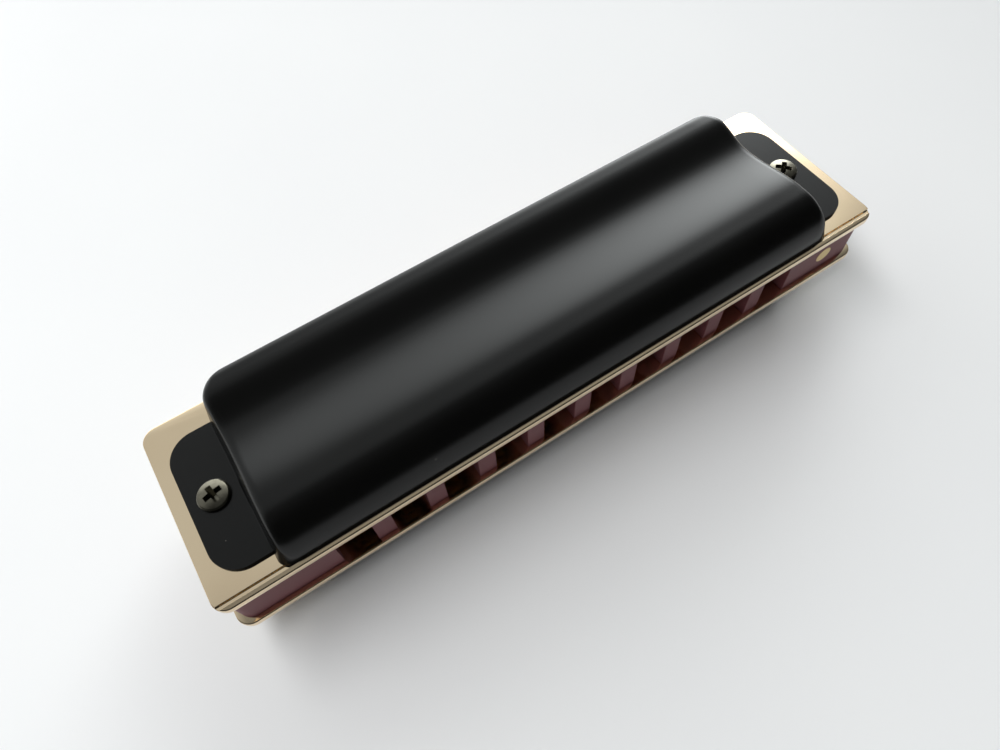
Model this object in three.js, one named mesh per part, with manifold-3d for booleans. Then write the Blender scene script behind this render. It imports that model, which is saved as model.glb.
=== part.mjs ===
// A ten-hole diatonic harmonica, lying on its lower cover plate.
//
// Millimetres. X runs along the instrument, towards hole 1 and its long, low
// reeds. -Y is the mouth side, +Y the open back, and +Z is up. The instrument
// lies with its draw side up, and the origin is under its centre, on the
// surface that it rests on.
import * as THREE from "three";
import { mergeVertices } from "three/addons/utils/BufferGeometryUtils.js";
import Module from "manifold-3d";

const wasm = await Module();
wasm.setup();

// ---- Driving sizes ---------------------------------------------------------
const HOLES = 10;
const HOLE_PITCH = 7.5; // centre to centre, along the mouth side
const CHAMBER_WALL = 2.6; // comb between one chamber and the next
const END_LENGTH = 13; // reed plates beyond the ten pitches, at each end

const PLATE_WIDTH = 26.6; // both reed plates, mouth side to back
const PLATE_THICKNESS = 1.1;
const PLATE_CORNER = 2;

const COMB_THICKNESS = 6.8; // and so the height of each mouth hole
const COMB_FRONT_INSET = 0.7; // comb behind the edge of the plates
const COMB_BACK_INSET = 0.7;
const COMB_END_INSET = 0.8;
const COMB_CORNER = 1.6;
const CHAMBER_BACK_MARGIN = 1; // air behind the longer slot of a chamber

const GROOVE_INSET = 0.65; // strip of plate in front of the groove for a cover's lip
const GROOVE_DEPTH = 0.35;

const COVER_HEIGHT = 5.8; // outer face of a reed plate to the ridges of its cover
const COVER_END_INSET = 8.4; // feet of the cover's end walls, from the ends of the plate
const COVER_SHEET = 0.5; // thickness of the pressed sheet
const COVER_BACK_INSET = 0.9; // back edge of the cover, from the plate's back edge
const LIP_CLEARANCE = 0.05; // cover lip to each wall of its groove
const LIP_FLOOR_CLEARANCE = 0.05;
const VALLEY_DEPTH = 1.4; // finger valley between the two ridges
const FRONT_WALL_RUN = 5.3; // from the lip back to the front ridge
const FRONT_RIDGE_FLAT = 1.3;
const BACK_RIDGE_FLAT = 1;
const BACK_CURL_RUN = 1; // the back edge rolls down over this width
const BACK_CURL_DROP = 0.6;
const END_WALL_ANGLE = THREE.MathUtils.degToRad(78);
const END_FOLD_RADIUS = 1.5; // outside radius of the fold along an end wall
const COVER_FRONT_CORNER = 1.5; // seen from above
const COVER_BACK_CORNER = 3.3;
const TAB_END_INSET = 2; // edges of the flat end tabs, from the plate's edges
const TAB_FRONT_INSET = 3.2;
const TAB_BACK_INSET = 3.7;
const TAB_CORNER = 3.8;
const TAB_ROOT = 0.4; // how far a tab reaches into the foot of its end wall

const SLOT_BACK_INSET_LOW = 4.2; // blow slot of hole 1, from the plate's back edge
const SLOT_BACK_INSET_HIGH = 11.2; // blow slot of hole 10
const SLOT_WIDTH_LOW = 2.4;
const SLOT_WIDTH_HIGH = 2;
const DRAW_SLOT_FRONT_INSET = 4; // tip end of the draw slots, from the plate's front edge
const BLOW_SLOT_FRONT_INSET = 6.9; // root end of the blow slots
const REED_CLEARANCE = 0.1; // tongue to each wall of its slot
const REED_THICKNESS = 0.25;
const REED_TIP_LIFT = 0.2; // a reed stands a little proud of its slot at the tip
const PAD_LENGTH = 3.2; // riveted root of a reed
const PAD_SIDE = 0.5; // pad beyond the tongue on each side

const RIVET_RADIUS = 0.55;
const RIVET_HEAD_RADIUS = 0.9;
const RIVET_HEAD_HEIGHT = 0.3;
const RIVET_TAIL_RADIUS = 0.75;
const RIVET_TAIL_HEIGHT = 0.2;
const RIVET_CLEARANCE = 0.02;

const COVER_SCREW_INSET = 5.3; // its axis, from the end of the plates
const COVER_SCREW_RADIUS = 1;
const COVER_SCREW_HEAD_RADIUS = 2.1;
const COVER_SCREW_HEAD_EDGE = 0.55; // height of the head's straight rim
const COVER_SCREW_HEAD_DOME = 0.4;
const COVER_SCREW_CLEARANCE = 0.15;
const COVER_SCREW_TAIL = 0.3; // thread showing past the nut
const NUT_FLATS = 4;
const NUT_HEIGHT = 1.5;
const NUT_CLEARANCE = 0.03;

const PLATE_SCREW_RADIUS = 0.65;
const PLATE_SCREW_HEAD_RADIUS = 1.25;
const PLATE_SCREW_HEAD_HEIGHT = 0.6; // countersunk, flush with the draw plate
const PLATE_SCREW_CLEARANCE = 0.08;
const PLATE_SCREW_END_CLEARANCE = 0.1; // short of the blow plate's outer face
const PLATE_SCREW_FRONT_INSET = 2.9; // front row, from the plate's front edge
const PLATE_SCREW_BACK_INSET = 3.6; // back row, from the plate's back edge
const PLATE_SCREW_END_MARGIN = 2.6; // outermost screws, outside the end chambers
const FRONT_ROW_AFTER_HOLES = [2, 5, 8]; // on the walls behind these holes
const BACK_ROW_AFTER_HOLES = [1, 4, 6, 9];

const ROUND_SIDES = 12; // sides of small round pieces and holes
const HEAD_SIDES = 24; // sides of the visible screw heads
const CORNER_STEPS = 5;
const CUT_OVER = 0.5; // cutters run this far past the faces that they cut

// ---- Sizes, levels and edges that follow from them -------------------------
const HOLE_WIDTH = HOLE_PITCH - CHAMBER_WALL;
const PLATE_LENGTH = HOLES * HOLE_PITCH + 2 * END_LENGTH;
const COVER_LENGTH = PLATE_LENGTH - 2 * COVER_END_INSET;
const GROOVE_WIDTH = COVER_SHEET + 2 * LIP_CLEARANCE;
const FRONT = -PLATE_WIDTH / 2;
const BACK = PLATE_WIDTH / 2;
const BLOW_PLATE_BASE = COVER_HEIGHT;
const COMB_BASE = BLOW_PLATE_BASE + PLATE_THICKNESS;
const DRAW_PLATE_BASE = COMB_BASE + COMB_THICKNESS;
const DRAW_PLATE_TOP = DRAW_PLATE_BASE + PLATE_THICKNESS;
const COVER_SCREW_X = PLATE_LENGTH / 2 - COVER_SCREW_INSET;

// ---- Materials -------------------------------------------------------------
function material(color, roughness, metalness) {
  return new THREE.MeshStandardMaterial({ color, roughness, metalness });
}

const blackPaint = material(0x1d1e1c, 0.45, 0.1);
const goldPlate = material(0xd8bd8c, 0.12, 1);
const wineComb = material(0x7c3b4b, 0.45, 0);
const reedBrass = material(0xc9a45c, 0.3, 1);
const nickelSteel = material(0xb9b6a8, 0.28, 1);

// ---- Small helpers ---------------------------------------------------------
function solid(geometry) {
  const bare = geometry.index ? geometry.toNonIndexed() : geometry.clone();
  bare.deleteAttribute("normal");
  bare.deleteAttribute("uv");
  const merged = mergeVertices(bare, 1e-5);
  return new wasm.Manifold(new wasm.Mesh({
    numProp: 3,
    vertProperties: new Float32Array(merged.attributes.position.array),
    triVerts: new Uint32Array(merged.index.array),
  }));
}

function geometryOf(manifold) {
  const mesh = manifold.getMesh();
  const geometry = new THREE.BufferGeometry();
  geometry.setAttribute("position", new THREE.BufferAttribute(mesh.vertProperties, 3));
  geometry.setIndex(new THREE.BufferAttribute(mesh.triVerts, 1));
  return geometry;
}

function piece(name, geometry, finish) {
  const mesh = new THREE.Mesh(geometry, finish);
  mesh.name = name;
  return mesh;
}

function mix(low, high, t) {
  return low + (high - low) * t;
}

// A rectangle with four round corners, centred on the origin.
function roundedRectangle(length, width, radius) {
  const x = length / 2 - radius;
  const y = width / 2 - radius;
  const shape = new THREE.Shape();
  shape.absarc(x, y, radius, 0, Math.PI / 2);
  shape.absarc(-x, y, radius, Math.PI / 2, Math.PI);
  shape.absarc(-x, -y, radius, Math.PI, 1.5 * Math.PI);
  shape.absarc(x, -y, radius, 1.5 * Math.PI, 2 * Math.PI);
  return shape;
}

// A regular polygon with its corners on the circle of this radius.
function ring(x, y, radius, sides = ROUND_SIDES) {
  return Array.from({ length: sides }, (_, i) => {
    const angle = (i / sides) * 2 * Math.PI;
    return new THREE.Vector2(x + radius * Math.cos(angle), y + radius * Math.sin(angle));
  });
}

function extrude(shape, depth) {
  return new THREE.ExtrudeGeometry(shape, {
    depth,
    bevelEnabled: false,
    curveSegments: CORNER_STEPS,
  });
}

// A cutter for a slot or chamber, running past both faces of what it cuts.
function slotCutter(x, width, y0, y1, z0, z1) {
  const box = new THREE.BoxGeometry(width, y1 - y0, z1 - z0 + 2 * CUT_OVER);
  return solid(box.translate(x, (y0 + y1) / 2, (z0 + z1) / 2));
}

// A drill for a round hole, running past both faces of what it cuts. The flats
// of its polygon touch the circle, so that nothing round is nipped in the hole.
function drill(x, y, radius, z0, z1) {
  const corner = radius / Math.cos(Math.PI / ROUND_SIDES);
  const rod = extrude(new THREE.Shape(ring(x, y, corner)), z1 - z0 + 2 * CUT_OVER);
  return solid(rod.translate(0, 0, z0 - CUT_OVER));
}

function cutAll(body, cutters) {
  return cutters.reduce((rest, cutter) => rest.subtract(cutter), body);
}

// A turned piece on the Z axis, from a profile of [radius, height] pairs.
function turned(profile, sides = ROUND_SIDES) {
  const points = profile.map(([radius, height]) => new THREE.Vector2(radius, height));
  return new THREE.LatheGeometry(points, sides).rotateX(Math.PI / 2);
}

// ---- Where each hole's reeds lie -------------------------------------------
// Hole 1 is at the +X end. The low reeds are long and the high ones short.
function holeLayout(hole) {
  const t = (hole - 1) / (HOLES - 1);
  const blowRoot = FRONT + BLOW_SLOT_FRONT_INSET;
  const blowTip = BACK - mix(SLOT_BACK_INSET_LOW, SLOT_BACK_INSET_HIGH, t);
  const slotWidth = mix(SLOT_WIDTH_LOW, SLOT_WIDTH_HIGH, t);
  const x = ((HOLES + 1) / 2 - hole) * HOLE_PITCH;
  const drawTip = FRONT + DRAW_SLOT_FRONT_INSET;
  const drawRoot = drawTip + blowTip - blowRoot; // both slots of a hole are as long
  const chamberBack = Math.max(drawRoot, blowTip) + CHAMBER_BACK_MARGIN;
  return { hole, x, slotWidth, drawTip, drawRoot, blowRoot, blowTip, chamberBack };
}

const layouts = Array.from({ length: HOLES }, (_, i) => holeLayout(i + 1));

// A screw through the wall between this hole and the next one.
function wallX(hole) {
  return (holeLayout(hole).x + holeLayout(hole + 1).x) / 2;
}

function plateScrewPlaces() {
  const frontY = FRONT + PLATE_SCREW_FRONT_INSET;
  const backY = BACK - PLATE_SCREW_BACK_INSET;
  const endX = layouts[0].x + HOLE_WIDTH / 2 + PLATE_SCREW_END_MARGIN;
  return [
    ...FRONT_ROW_AFTER_HOLES.map((hole) => [wallX(hole), frontY]),
    ...BACK_ROW_AFTER_HOLES.map((hole) => [wallX(hole), backY]),
    [endX, 0],
    [-endX, 0],
  ];
}

const coverScrewPlaces = [
  ["low", COVER_SCREW_X],
  ["high", -COVER_SCREW_X],
];

// Drills for every screw that passes through the comb and both plates.
function screwDrills(z0, z1) {
  const plateHole = PLATE_SCREW_RADIUS + PLATE_SCREW_CLEARANCE;
  const coverHole = COVER_SCREW_RADIUS + COVER_SCREW_CLEARANCE;
  return [
    ...plateScrewPlaces().map(([x, y]) => drill(x, y, plateHole, z0, z1)),
    ...coverScrewPlaces.map(([, x]) => drill(x, 0, coverHole, z0, z1)),
  ];
}

// ---- Comb ------------------------------------------------------------------
// A slab with ten full-height chambers, each open to the mouth side.
function makeComb() {
  const length = PLATE_LENGTH - 2 * COMB_END_INSET;
  const front = FRONT + COMB_FRONT_INSET;
  const back = BACK - COMB_BACK_INSET;
  const outline = roundedRectangle(length, back - front, COMB_CORNER);
  const slab = extrude(outline, COMB_THICKNESS).translate(0, (front + back) / 2, COMB_BASE);
  const chambers = layouts.map(({ x, chamberBack }) => (
    slotCutter(x, HOLE_WIDTH, front - CUT_OVER, chamberBack, COMB_BASE, DRAW_PLATE_BASE)
  ));
  return geometryOf(cutAll(solid(slab), [
    ...chambers,
    ...screwDrills(COMB_BASE, DRAW_PLATE_BASE),
  ]));
}

// ---- Reed plates -----------------------------------------------------------
function drawRivetY(layout) {
  return layout.drawRoot + PAD_LENGTH / 2;
}

function blowRivetY(layout) {
  return layout.blowRoot - PAD_LENGTH / 2;
}

// The bar that mills the cover's groove, its middle at the height of the plate's face.
function grooveCutter(faceZ) {
  const bar = new THREE.BoxGeometry(PLATE_LENGTH + 2, GROOVE_WIDTH, 2 * GROOVE_DEPTH);
  return solid(bar.translate(0, FRONT + GROOVE_INSET + GROOVE_WIDTH / 2, faceZ));
}

// A plate with its slots, its rivet and screw holes, and the groove in its outer face.
function plateBody(base, outerFace, slotEnds, rivetY) {
  const top = base + PLATE_THICKNESS;
  const outline = roundedRectangle(PLATE_LENGTH, PLATE_WIDTH, PLATE_CORNER);
  const blank = solid(extrude(outline, PLATE_THICKNESS).translate(0, 0, base));
  const slots = layouts.map((layout) => (
    slotCutter(layout.x, layout.slotWidth, ...slotEnds(layout), base, top)
  ));
  const rivetHoles = layouts.map((layout) => (
    drill(layout.x, rivetY(layout), RIVET_RADIUS + RIVET_CLEARANCE, base, top)
  ));
  const cutters = [...slots, ...rivetHoles, ...screwDrills(base, top), grooveCutter(outerFace)];
  return cutAll(blank, cutters);
}

// A cone that runs on past the face, so that the cut leaves no skin.
function countersinkCutter(x, y) {
  const slope = (PLATE_SCREW_HEAD_RADIUS - PLATE_SCREW_RADIUS) / PLATE_SCREW_HEAD_HEIGHT;
  const cone = turned([
    [0, -PLATE_SCREW_HEAD_HEIGHT],
    [PLATE_SCREW_RADIUS + PLATE_SCREW_CLEARANCE, -PLATE_SCREW_HEAD_HEIGHT],
    [PLATE_SCREW_HEAD_RADIUS + PLATE_SCREW_CLEARANCE + CUT_OVER * slope, CUT_OVER],
    [0, CUT_OVER],
  ]);
  return solid(cone.translate(x, y, DRAW_PLATE_TOP));
}

function makeDrawPlate() {
  const slotEnds = ({ drawTip, drawRoot }) => [drawTip, drawRoot];
  const plate = plateBody(DRAW_PLATE_BASE, DRAW_PLATE_TOP, slotEnds, drawRivetY);
  const countersinks = plateScrewPlaces().map(([x, y]) => countersinkCutter(x, y));
  return geometryOf(cutAll(plate, countersinks));
}

function makeBlowPlate() {
  const slotEnds = ({ blowRoot, blowTip }) => [blowRoot, blowTip];
  return geometryOf(plateBody(BLOW_PLATE_BASE, BLOW_PLATE_BASE, slotEnds, blowRivetY));
}

// ---- Reeds and rivets ------------------------------------------------------
// A reed on a flat face at z = 0, its tongue along +Y from the root at y = 0,
// and its pad on the other side. The tongue lifts slowly towards its tip.
function reedGeometry(layout, slotLength) {
  const tongue = layout.slotWidth / 2 - REED_CLEARANCE;
  const pad = tongue + REED_CLEARANCE + PAD_SIDE;
  const tip = slotLength - REED_CLEARANCE;
  const shape = new THREE.Shape([
    new THREE.Vector2(-pad, -PAD_LENGTH),
    new THREE.Vector2(pad, -PAD_LENGTH),
    new THREE.Vector2(pad, 0),
    new THREE.Vector2(tongue, 0),
    new THREE.Vector2(tongue, tip),
    new THREE.Vector2(-tongue, tip),
    new THREE.Vector2(-tongue, 0),
    new THREE.Vector2(-pad, 0),
  ]);
  const rivetHole = drill(0, -PAD_LENGTH / 2, RIVET_RADIUS + RIVET_CLEARANCE, 0, REED_THICKNESS);
  const geometry = geometryOf(solid(extrude(shape, REED_THICKNESS)).subtract(rivetHole));
  const position = geometry.attributes.position;
  for (let i = 0; i < position.count; i += 1) {
    const lift = (Math.max(position.getY(i), 0) / tip) * REED_TIP_LIFT;
    position.setZ(i, position.getZ(i) + lift);
  }
  return geometry;
}

// Draw reeds lie on the draw plate's outer face, with their tips to the mouth.
function makeDrawReed(layout) {
  const geometry = reedGeometry(layout, layout.drawRoot - layout.drawTip);
  return geometry.rotateZ(Math.PI).translate(layout.x, layout.drawRoot, DRAW_PLATE_TOP);
}

// Blow reeds lie inside the chambers, on the blow plate, tips to the back.
function makeBlowReed(layout) {
  const geometry = reedGeometry(layout, layout.blowTip - layout.blowRoot);
  return geometry.translate(layout.x, layout.blowRoot, COMB_BASE);
}

// A rivet whose shank starts at z = 0 on the reed's side of the plate.
function rivetGeometry() {
  const seat = REED_THICKNESS;
  const head = seat + RIVET_HEAD_HEIGHT;
  return turned([
    [0, -PLATE_THICKNESS - RIVET_TAIL_HEIGHT],
    [RIVET_TAIL_RADIUS * 0.8, -PLATE_THICKNESS - RIVET_TAIL_HEIGHT],
    [RIVET_TAIL_RADIUS, -PLATE_THICKNESS],
    [RIVET_RADIUS, -PLATE_THICKNESS],
    [RIVET_RADIUS, seat],
    [RIVET_HEAD_RADIUS, seat],
    [RIVET_HEAD_RADIUS * 0.75, head],
    [0, head],
  ]);
}

// ---- Cover plates ----------------------------------------------------------
// The cover's section, from the lip in the groove over the front ridge, the
// finger valley and the back ridge to the rolled back edge. Heights are above
// the face of the reed plate.
function coverSection() {
  const lipY = FRONT + GROOVE_INSET + LIP_CLEARANCE;
  const ridgeStart = lipY + FRONT_WALL_RUN;
  const ridgeEnd = ridgeStart + FRONT_RIDGE_FLAT;
  const edge = BACK - COVER_BACK_INSET;
  const backEnd = edge - BACK_CURL_RUN;
  const backStart = backEnd - BACK_RIDGE_FLAT;
  const span = backStart - ridgeEnd;
  const valleyY = ridgeEnd + span * 0.62;
  const valley = COVER_HEIGHT - VALLEY_DEPTH;
  const path = new THREE.Path();
  path.moveTo(lipY, LIP_FLOOR_CLEARANCE - GROOVE_DEPTH);
  path.lineTo(lipY, COVER_HEIGHT * 0.1);
  path.bezierCurveTo(
    lipY + FRONT_WALL_RUN * 0.06, COVER_HEIGHT * 0.62,
    lipY + FRONT_WALL_RUN * 0.42, COVER_HEIGHT,
    ridgeStart, COVER_HEIGHT,
  );
  path.lineTo(ridgeEnd, COVER_HEIGHT);
  path.bezierCurveTo(
    mix(ridgeEnd, valleyY, 0.3), COVER_HEIGHT,
    mix(ridgeEnd, valleyY, 0.65), valley,
    valleyY, valley,
  );
  path.bezierCurveTo(
    mix(valleyY, backStart, 0.4), valley,
    mix(valleyY, backStart, 0.65), COVER_HEIGHT,
    backStart, COVER_HEIGHT,
  );
  path.lineTo(backEnd, COVER_HEIGHT);
  path.quadraticCurveTo(edge, COVER_HEIGHT, edge, COVER_HEIGHT - BACK_CURL_DROP);
  return path.getPoints(5);
}

// The same section moved inwards by the sheet, along the mean normal at each point.
function insideSection(section) {
  return section.map((point, j) => {
    const before = section[Math.max(j - 1, 0)];
    const after = section[Math.min(j + 1, section.length - 1)];
    const run = after.clone().sub(before).normalize();
    const y = point.x + run.y * COVER_SHEET;
    const z = point.y - run.x * COVER_SHEET;
    return new THREE.Vector2(y, j === 0 ? point.y : z);
  });
}

// An end wall as [distance in from its foot, share of the full height]: a
// straight slope and a round fold. Its inside has a smaller fold.
function endWall(height, foldRadius) {
  const slope = END_WALL_ANGLE;
  const topX = foldRadius * Math.sin(slope)
    + (height - foldRadius + foldRadius * Math.cos(slope)) / Math.tan(slope);
  const steps = [[0, 0]];
  const foldSteps = 5;
  for (let i = 0; i <= foldSteps; i += 1) {
    const angle = slope * (1 - i / foldSteps);
    const x = topX - foldRadius * Math.sin(angle);
    const z = height - foldRadius + foldRadius * Math.cos(angle);
    steps.push([x, z / height]);
  }
  return steps;
}

// How far a corner of this radius pulls the outline in at a point past its start.
function cornerPull(past, radius) {
  const reach = Math.min(Math.max(past, 0), radius);
  return radius - Math.sqrt(radius * radius - reach * reach);
}

// Half the cover's length at its foot, for a point of the section.
function halfLengthAt(y, section) {
  const front = section[0].x;
  const back = section[section.length - 1].x;
  const frontPull = cornerPull(front + COVER_FRONT_CORNER - y, COVER_FRONT_CORNER);
  const backPull = cornerPull(y - back + COVER_BACK_CORNER, COVER_BACK_CORNER);
  return COVER_LENGTH / 2 - frontPull - backPull;
}

// One face of the sheet as rows of points from the -X foot to the +X foot.
function coverFace(section, outline, wall, inset) {
  return section.map((point, j) => {
    const half = halfLengthAt(outline[j].x, outline) - inset;
    const left = wall.map(([run, share]) => [-half + run, share]);
    const right = wall.map(([run, share]) => [half - run, share]).reverse();
    return [...left, ...right].map(([x, share]) => {
      const z = point.y > 0 ? point.y * share : point.y * Math.ceil(share);
      return new THREE.Vector3(x, point.x, z);
    });
  });
}

// A closed shell from an outer and an inner grid of the same size.
function shellGeometry(outer, inner) {
  const rows = outer.length;
  const columns = outer[0].length;
  const points = [...outer.flat(), ...inner.flat()];
  const index = [];
  const at = (face, row, column) => face * rows * columns + row * columns + column;
  const quad = (a, b, c, d) => index.push(a, b, c, a, c, d);
  for (let row = 0; row < rows - 1; row += 1) {
    for (let column = 0; column < columns - 1; column += 1) {
      quad(at(0, row, column), at(0, row, column + 1), at(0, row + 1, column + 1), at(0, row + 1, column));
      quad(at(1, row, column), at(1, row + 1, column), at(1, row + 1, column + 1), at(1, row, column + 1));
    }
  }
  for (let column = 0; column < columns - 1; column += 1) {
    const last = rows - 1;
    quad(at(0, 0, column), at(1, 0, column), at(1, 0, column + 1), at(0, 0, column + 1));
    quad(at(0, last, column), at(0, last, column + 1), at(1, last, column + 1), at(1, last, column));
  }
  for (let row = 0; row < rows - 1; row += 1) {
    const last = columns - 1;
    quad(at(0, row, 0), at(0, row + 1, 0), at(1, row + 1, 0), at(1, row, 0));
    quad(at(0, row, last), at(1, row, last), at(1, row + 1, last), at(0, row + 1, last));
  }
  const geometry = new THREE.BufferGeometry();
  geometry.setFromPoints(points);
  geometry.setIndex(index);
  return geometry;
}

function coverDome() {
  const section = coverSection();
  const inside = insideSection(section);
  const outerWall = endWall(COVER_HEIGHT, END_FOLD_RADIUS);
  const innerWall = endWall(COVER_HEIGHT - COVER_SHEET, END_FOLD_RADIUS - COVER_SHEET);
  const footWidth = COVER_SHEET / Math.sin(END_WALL_ANGLE);
  const outer = coverFace(section, section, outerWall, 0);
  const inner = coverFace(inside, section, innerWall, footWidth);
  return solid(shellGeometry(outer, inner));
}

// The flat tab beyond the +X end wall, with the hole for the cover screw.
function tabGeometry(front, back) {
  const root = COVER_LENGTH / 2 - TAB_ROOT;
  const end = PLATE_LENGTH / 2 - TAB_END_INSET;
  const shape = new THREE.Shape();
  shape.moveTo(root, back);
  shape.lineTo(root, front);
  shape.absarc(end - TAB_CORNER, front + TAB_CORNER, TAB_CORNER, 1.5 * Math.PI, 2 * Math.PI);
  shape.absarc(end - TAB_CORNER, back - TAB_CORNER, TAB_CORNER, 0, Math.PI / 2);
  const screwHole = COVER_SCREW_RADIUS + COVER_SCREW_CLEARANCE;
  const tab = solid(extrude(shape, COVER_SHEET));
  return geometryOf(tab.subtract(drill(COVER_SCREW_X, 0, screwHole, 0, COVER_SHEET)));
}

// A cover on the face z = 0, with its ridges up. Both covers are this piece.
function makeCover() {
  const front = FRONT + TAB_FRONT_INSET;
  const back = BACK - TAB_BACK_INSET;
  const lowTab = tabGeometry(front, back);
  const highTab = tabGeometry(-back, -front).rotateZ(Math.PI);
  return geometryOf(coverDome().add(solid(lowTab)).add(solid(highTab)));
}

// ---- Fasteners -------------------------------------------------------------
// A cross recess, cut down into a head from the height given.
function crossCutter(width, span, depth, topZ) {
  const bar = () => new THREE.BoxGeometry(span, width, 2 * depth).translate(0, 0, topZ);
  return solid(bar()).add(solid(bar().rotateZ(Math.PI / 2)));
}

// A pan-head screw, its seat at z = 0, long enough to pass the nut.
function coverScrewGeometry() {
  const grip = 2 * COVER_SHEET + 2 * PLATE_THICKNESS + COMB_THICKNESS;
  const end = -(grip + NUT_HEIGHT + COVER_SCREW_TAIL);
  const radius = COVER_SCREW_RADIUS;
  const head = COVER_SCREW_HEAD_RADIUS;
  const top = COVER_SCREW_HEAD_EDGE + COVER_SCREW_HEAD_DOME;
  const body = turned([
    [0, end],
    [radius * 0.8, end],
    [radius, end + radius * 0.3],
    [radius, 0],
    [head, 0],
    [head, COVER_SCREW_HEAD_EDGE],
    [head * 0.9, COVER_SCREW_HEAD_EDGE + COVER_SCREW_HEAD_DOME * 0.45],
    [head * 0.6, COVER_SCREW_HEAD_EDGE + COVER_SCREW_HEAD_DOME * 0.85],
    [0, top],
  ], HEAD_SIDES);
  return geometryOf(solid(body).subtract(crossCutter(0.6, 2.3, 0.7, top)));
}

function nutGeometry() {
  const across = NUT_FLATS / Math.cos(Math.PI / 6);
  const hexagon = extrude(new THREE.Shape(ring(0, 0, across / 2, 6)), NUT_HEIGHT);
  const bore = drill(0, 0, COVER_SCREW_RADIUS + NUT_CLEARANCE, 0, NUT_HEIGHT);
  return geometryOf(solid(hexagon).subtract(bore));
}

// A countersunk screw with the top of its head at z = 0.
function plateScrewGeometry() {
  const end = PLATE_SCREW_END_CLEARANCE - (2 * PLATE_THICKNESS + COMB_THICKNESS);
  const body = turned([
    [0, end],
    [PLATE_SCREW_RADIUS, end],
    [PLATE_SCREW_RADIUS, -PLATE_SCREW_HEAD_HEIGHT],
    [PLATE_SCREW_HEAD_RADIUS, 0],
    [0, 0],
  ]);
  return geometryOf(solid(body).subtract(crossCutter(0.35, 1.3, 0.4, 0)));
}

// ---- Assembly --------------------------------------------------------------
const harmonica = new THREE.Group();

function addAt(name, geometry, finish, x, y, z) {
  const mesh = piece(name, geometry, finish);
  mesh.position.set(x, y, z);
  harmonica.add(mesh);
  return mesh;
}

harmonica.add(piece("comb", makeComb(), wineComb));
harmonica.add(piece("draw_reed_plate", makeDrawPlate(), goldPlate));
harmonica.add(piece("blow_reed_plate", makeBlowPlate(), goldPlate));

const cover = makeCover();
addAt("draw_cover", cover, blackPaint, 0, 0, DRAW_PLATE_TOP);
addAt("blow_cover", cover, blackPaint, 0, 0, BLOW_PLATE_BASE).rotation.y = Math.PI;

const rivet = rivetGeometry();
for (const layout of layouts) {
  const { hole, x } = layout;
  harmonica.add(piece(`draw_reed_${hole}`, makeDrawReed(layout), reedBrass));
  harmonica.add(piece(`blow_reed_${hole}`, makeBlowReed(layout), reedBrass));
  addAt(`draw_rivet_${hole}`, rivet, reedBrass, x, drawRivetY(layout), DRAW_PLATE_TOP);
  addAt(`blow_rivet_${hole}`, rivet, reedBrass, x, blowRivetY(layout), COMB_BASE);
}

const coverScrew = coverScrewGeometry();
const nut = nutGeometry();
const tabTop = DRAW_PLATE_TOP + COVER_SHEET;
const nutBase = BLOW_PLATE_BASE - COVER_SHEET - NUT_HEIGHT;
for (const [end, x] of coverScrewPlaces) {
  addAt(`cover_screw_${end}`, coverScrew, nickelSteel, x, 0, tabTop);
  addAt(`cover_nut_${end}`, nut, nickelSteel, x, 0, nutBase);
}

const plateScrew = plateScrewGeometry();
plateScrewPlaces().forEach(([x, y], i) => {
  addAt(`plate_screw_${i + 1}`, plateScrew, reedBrass, x, y, DRAW_PLATE_TOP);
});

export default harmonica;
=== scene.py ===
# %% [markdown]
# # A ten-hole harmonica, piece by piece
# The real one is a stack: two pressed steel covers, two gold-plated brass reed plates with ten
# reeds riveted to each, and a moulded comb between them, held by small screws. The CAD model
# gives every piece its size, its place and its motion. This script gives each one its look.
# Lengths here are in millimetres, and one function turns them to Blender's metres.

# %% Load the frame
import math

import bpy
import numpy as np
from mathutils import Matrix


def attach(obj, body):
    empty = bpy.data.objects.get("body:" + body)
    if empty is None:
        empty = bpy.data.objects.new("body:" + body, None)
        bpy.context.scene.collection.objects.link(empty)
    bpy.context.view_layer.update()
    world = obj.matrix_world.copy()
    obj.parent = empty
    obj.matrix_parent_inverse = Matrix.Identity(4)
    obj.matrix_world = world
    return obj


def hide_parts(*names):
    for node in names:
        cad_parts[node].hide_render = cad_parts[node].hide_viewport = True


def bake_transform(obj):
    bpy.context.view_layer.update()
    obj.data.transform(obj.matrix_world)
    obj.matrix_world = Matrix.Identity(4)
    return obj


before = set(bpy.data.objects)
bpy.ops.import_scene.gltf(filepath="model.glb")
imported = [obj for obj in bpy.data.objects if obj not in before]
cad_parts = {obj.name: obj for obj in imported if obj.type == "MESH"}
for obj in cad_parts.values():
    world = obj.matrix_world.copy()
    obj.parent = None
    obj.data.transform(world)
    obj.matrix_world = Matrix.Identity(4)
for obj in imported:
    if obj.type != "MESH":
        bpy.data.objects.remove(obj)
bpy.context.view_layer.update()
MM = 0.001

# %% [markdown]
# ## The camera
# The instrument is seen from above, over its near left end, so its length runs up to the right
# and its mouth side faces the viewer. A short lens close by gives the strong perspective. The
# camera could be put on a track, but a target, two angles and a distance say the same in numbers
# that are easy to read. A small roll about the line of sight tips the picture a little.

# %% Camera
def from_target(azimuth, elevation):
    """The direction from the target to the camera: azimuth 0 is the mouth side."""
    level = math.cos(elevation)
    return np.array([math.sin(azimuth) * level, -math.cos(azimuth) * level, math.sin(elevation)])


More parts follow.
